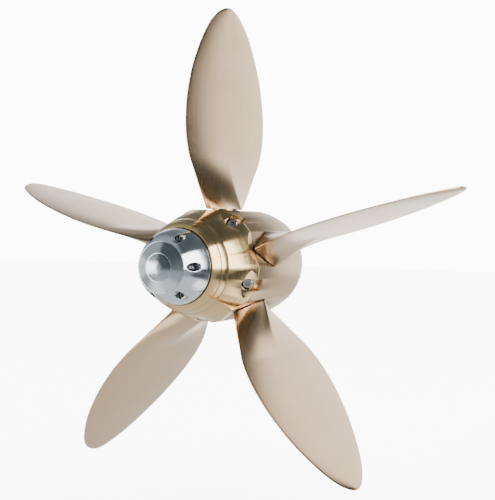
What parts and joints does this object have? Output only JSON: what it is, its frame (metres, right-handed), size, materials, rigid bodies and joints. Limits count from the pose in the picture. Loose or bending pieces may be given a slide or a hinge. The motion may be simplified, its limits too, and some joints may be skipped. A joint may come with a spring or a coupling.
{
  "type": "feathering ship propeller",
  "caption": "Feathering screw propeller: wide flat blades turn together about radial stems in a turned hub with a stepped nose anode.",
  "frame": {"origin": "centre of the shaft boss's forward face, on the shaft's axis", "axes": "+Y forward along the shaft, out of the boss's bore; +Z along the first blade at rest; X across"},
  "size_m": [0.6762, 0.2925, 0.6432],
  "materials": {
    "satin_bronze": "satin ground bronze",
    "turned_bronze": "turned and polished bronze",
    "boss_bronze": "fine machined bronze",
    "anode_metal": "polished anode metal",
    "screw_steel": "stainless steel",
    "gear_steel": "machined stainless steel"
  },
  "bodies": {
    "boss": {"shaft_boss": "boss_bronze"},
    "hub": {"hub_body": "satin_bronze", "hub_cover": "turned_bronze", "narrow_ring": "turned_bronze", "wide_ring": "turned_bronze", "anode": "anode_metal", "anode_screw_1": "screw_steel", "anode_screw_2": "screw_steel", "anode_screw_3": "screw_steel", "hub_screw_1": "screw_steel", "hub_screw_2": "screw_steel", "hub_screw_3": "screw_steel", "hub_screw_4": "screw_steel", "hub_screw_5": "screw_steel"},
    "blade_1_set": {"blade_1": "satin_bronze", "blade_gear_1": "gear_steel"},
    "blade_2_set": {"blade_2": "satin_bronze", "blade_gear_2": "gear_steel"},
    "blade_3_set": {"blade_3": "satin_bronze", "blade_gear_3": "gear_steel"},
    "blade_4_set": {"blade_4": "satin_bronze", "blade_gear_4": "gear_steel"},
    "blade_5_set": {"blade_5": "satin_bronze", "blade_gear_5": "gear_steel"}
  },
  "joints": [
    {"name": "hub_turn", "type": "hinge", "parent": "boss", "child": "hub", "pos_m": [0, -0.116, 0], "axis": [0, 1, 0], "range_deg": [-31, 31]},
    {"name": "blade_1_pitch", "type": "hinge", "parent": "hub", "child": "blade_1_set", "pos_m": [0, -0.116, 0], "axis": [0, 0, 1], "range_deg": [-70, 70]},
    {"name": "blade_2_pitch", "type": "hinge", "parent": "hub", "child": "blade_2_set", "pos_m": [0, -0.116, 0], "axis": [0.9511, 0, 0.309], "range_deg": [-70, 70]},
    {"name": "blade_3_pitch", "type": "hinge", "parent": "hub", "child": "blade_3_set", "pos_m": [0, -0.116, 0], "axis": [0.5878, 0, -0.809], "range_deg": [-70, 70]},
    {"name": "blade_4_pitch", "type": "hinge", "parent": "hub", "child": "blade_4_set", "pos_m": [0, -0.116, 0], "axis": [-0.5878, 0, -0.809], "range_deg": [-70, 70]},
    {"name": "blade_5_pitch", "type": "hinge", "parent": "hub", "child": "blade_5_set", "pos_m": [0, -0.116, 0], "axis": [-0.9511, 0, 0.309], "range_deg": [-70, 70]}
  ],
  "couplings": [
    {"joint": "blade_1_pitch", "follows": "hub_turn", "ratio": 2.25},
    {"joint": "blade_2_pitch", "follows": "hub_turn", "ratio": 2.25},
    {"joint": "blade_3_pitch", "follows": "hub_turn", "ratio": 2.25},
    {"joint": "blade_4_pitch", "follows": "hub_turn", "ratio": 2.25},
    {"joint": "blade_5_pitch", "follows": "hub_turn", "ratio": 2.25}
  ]
}
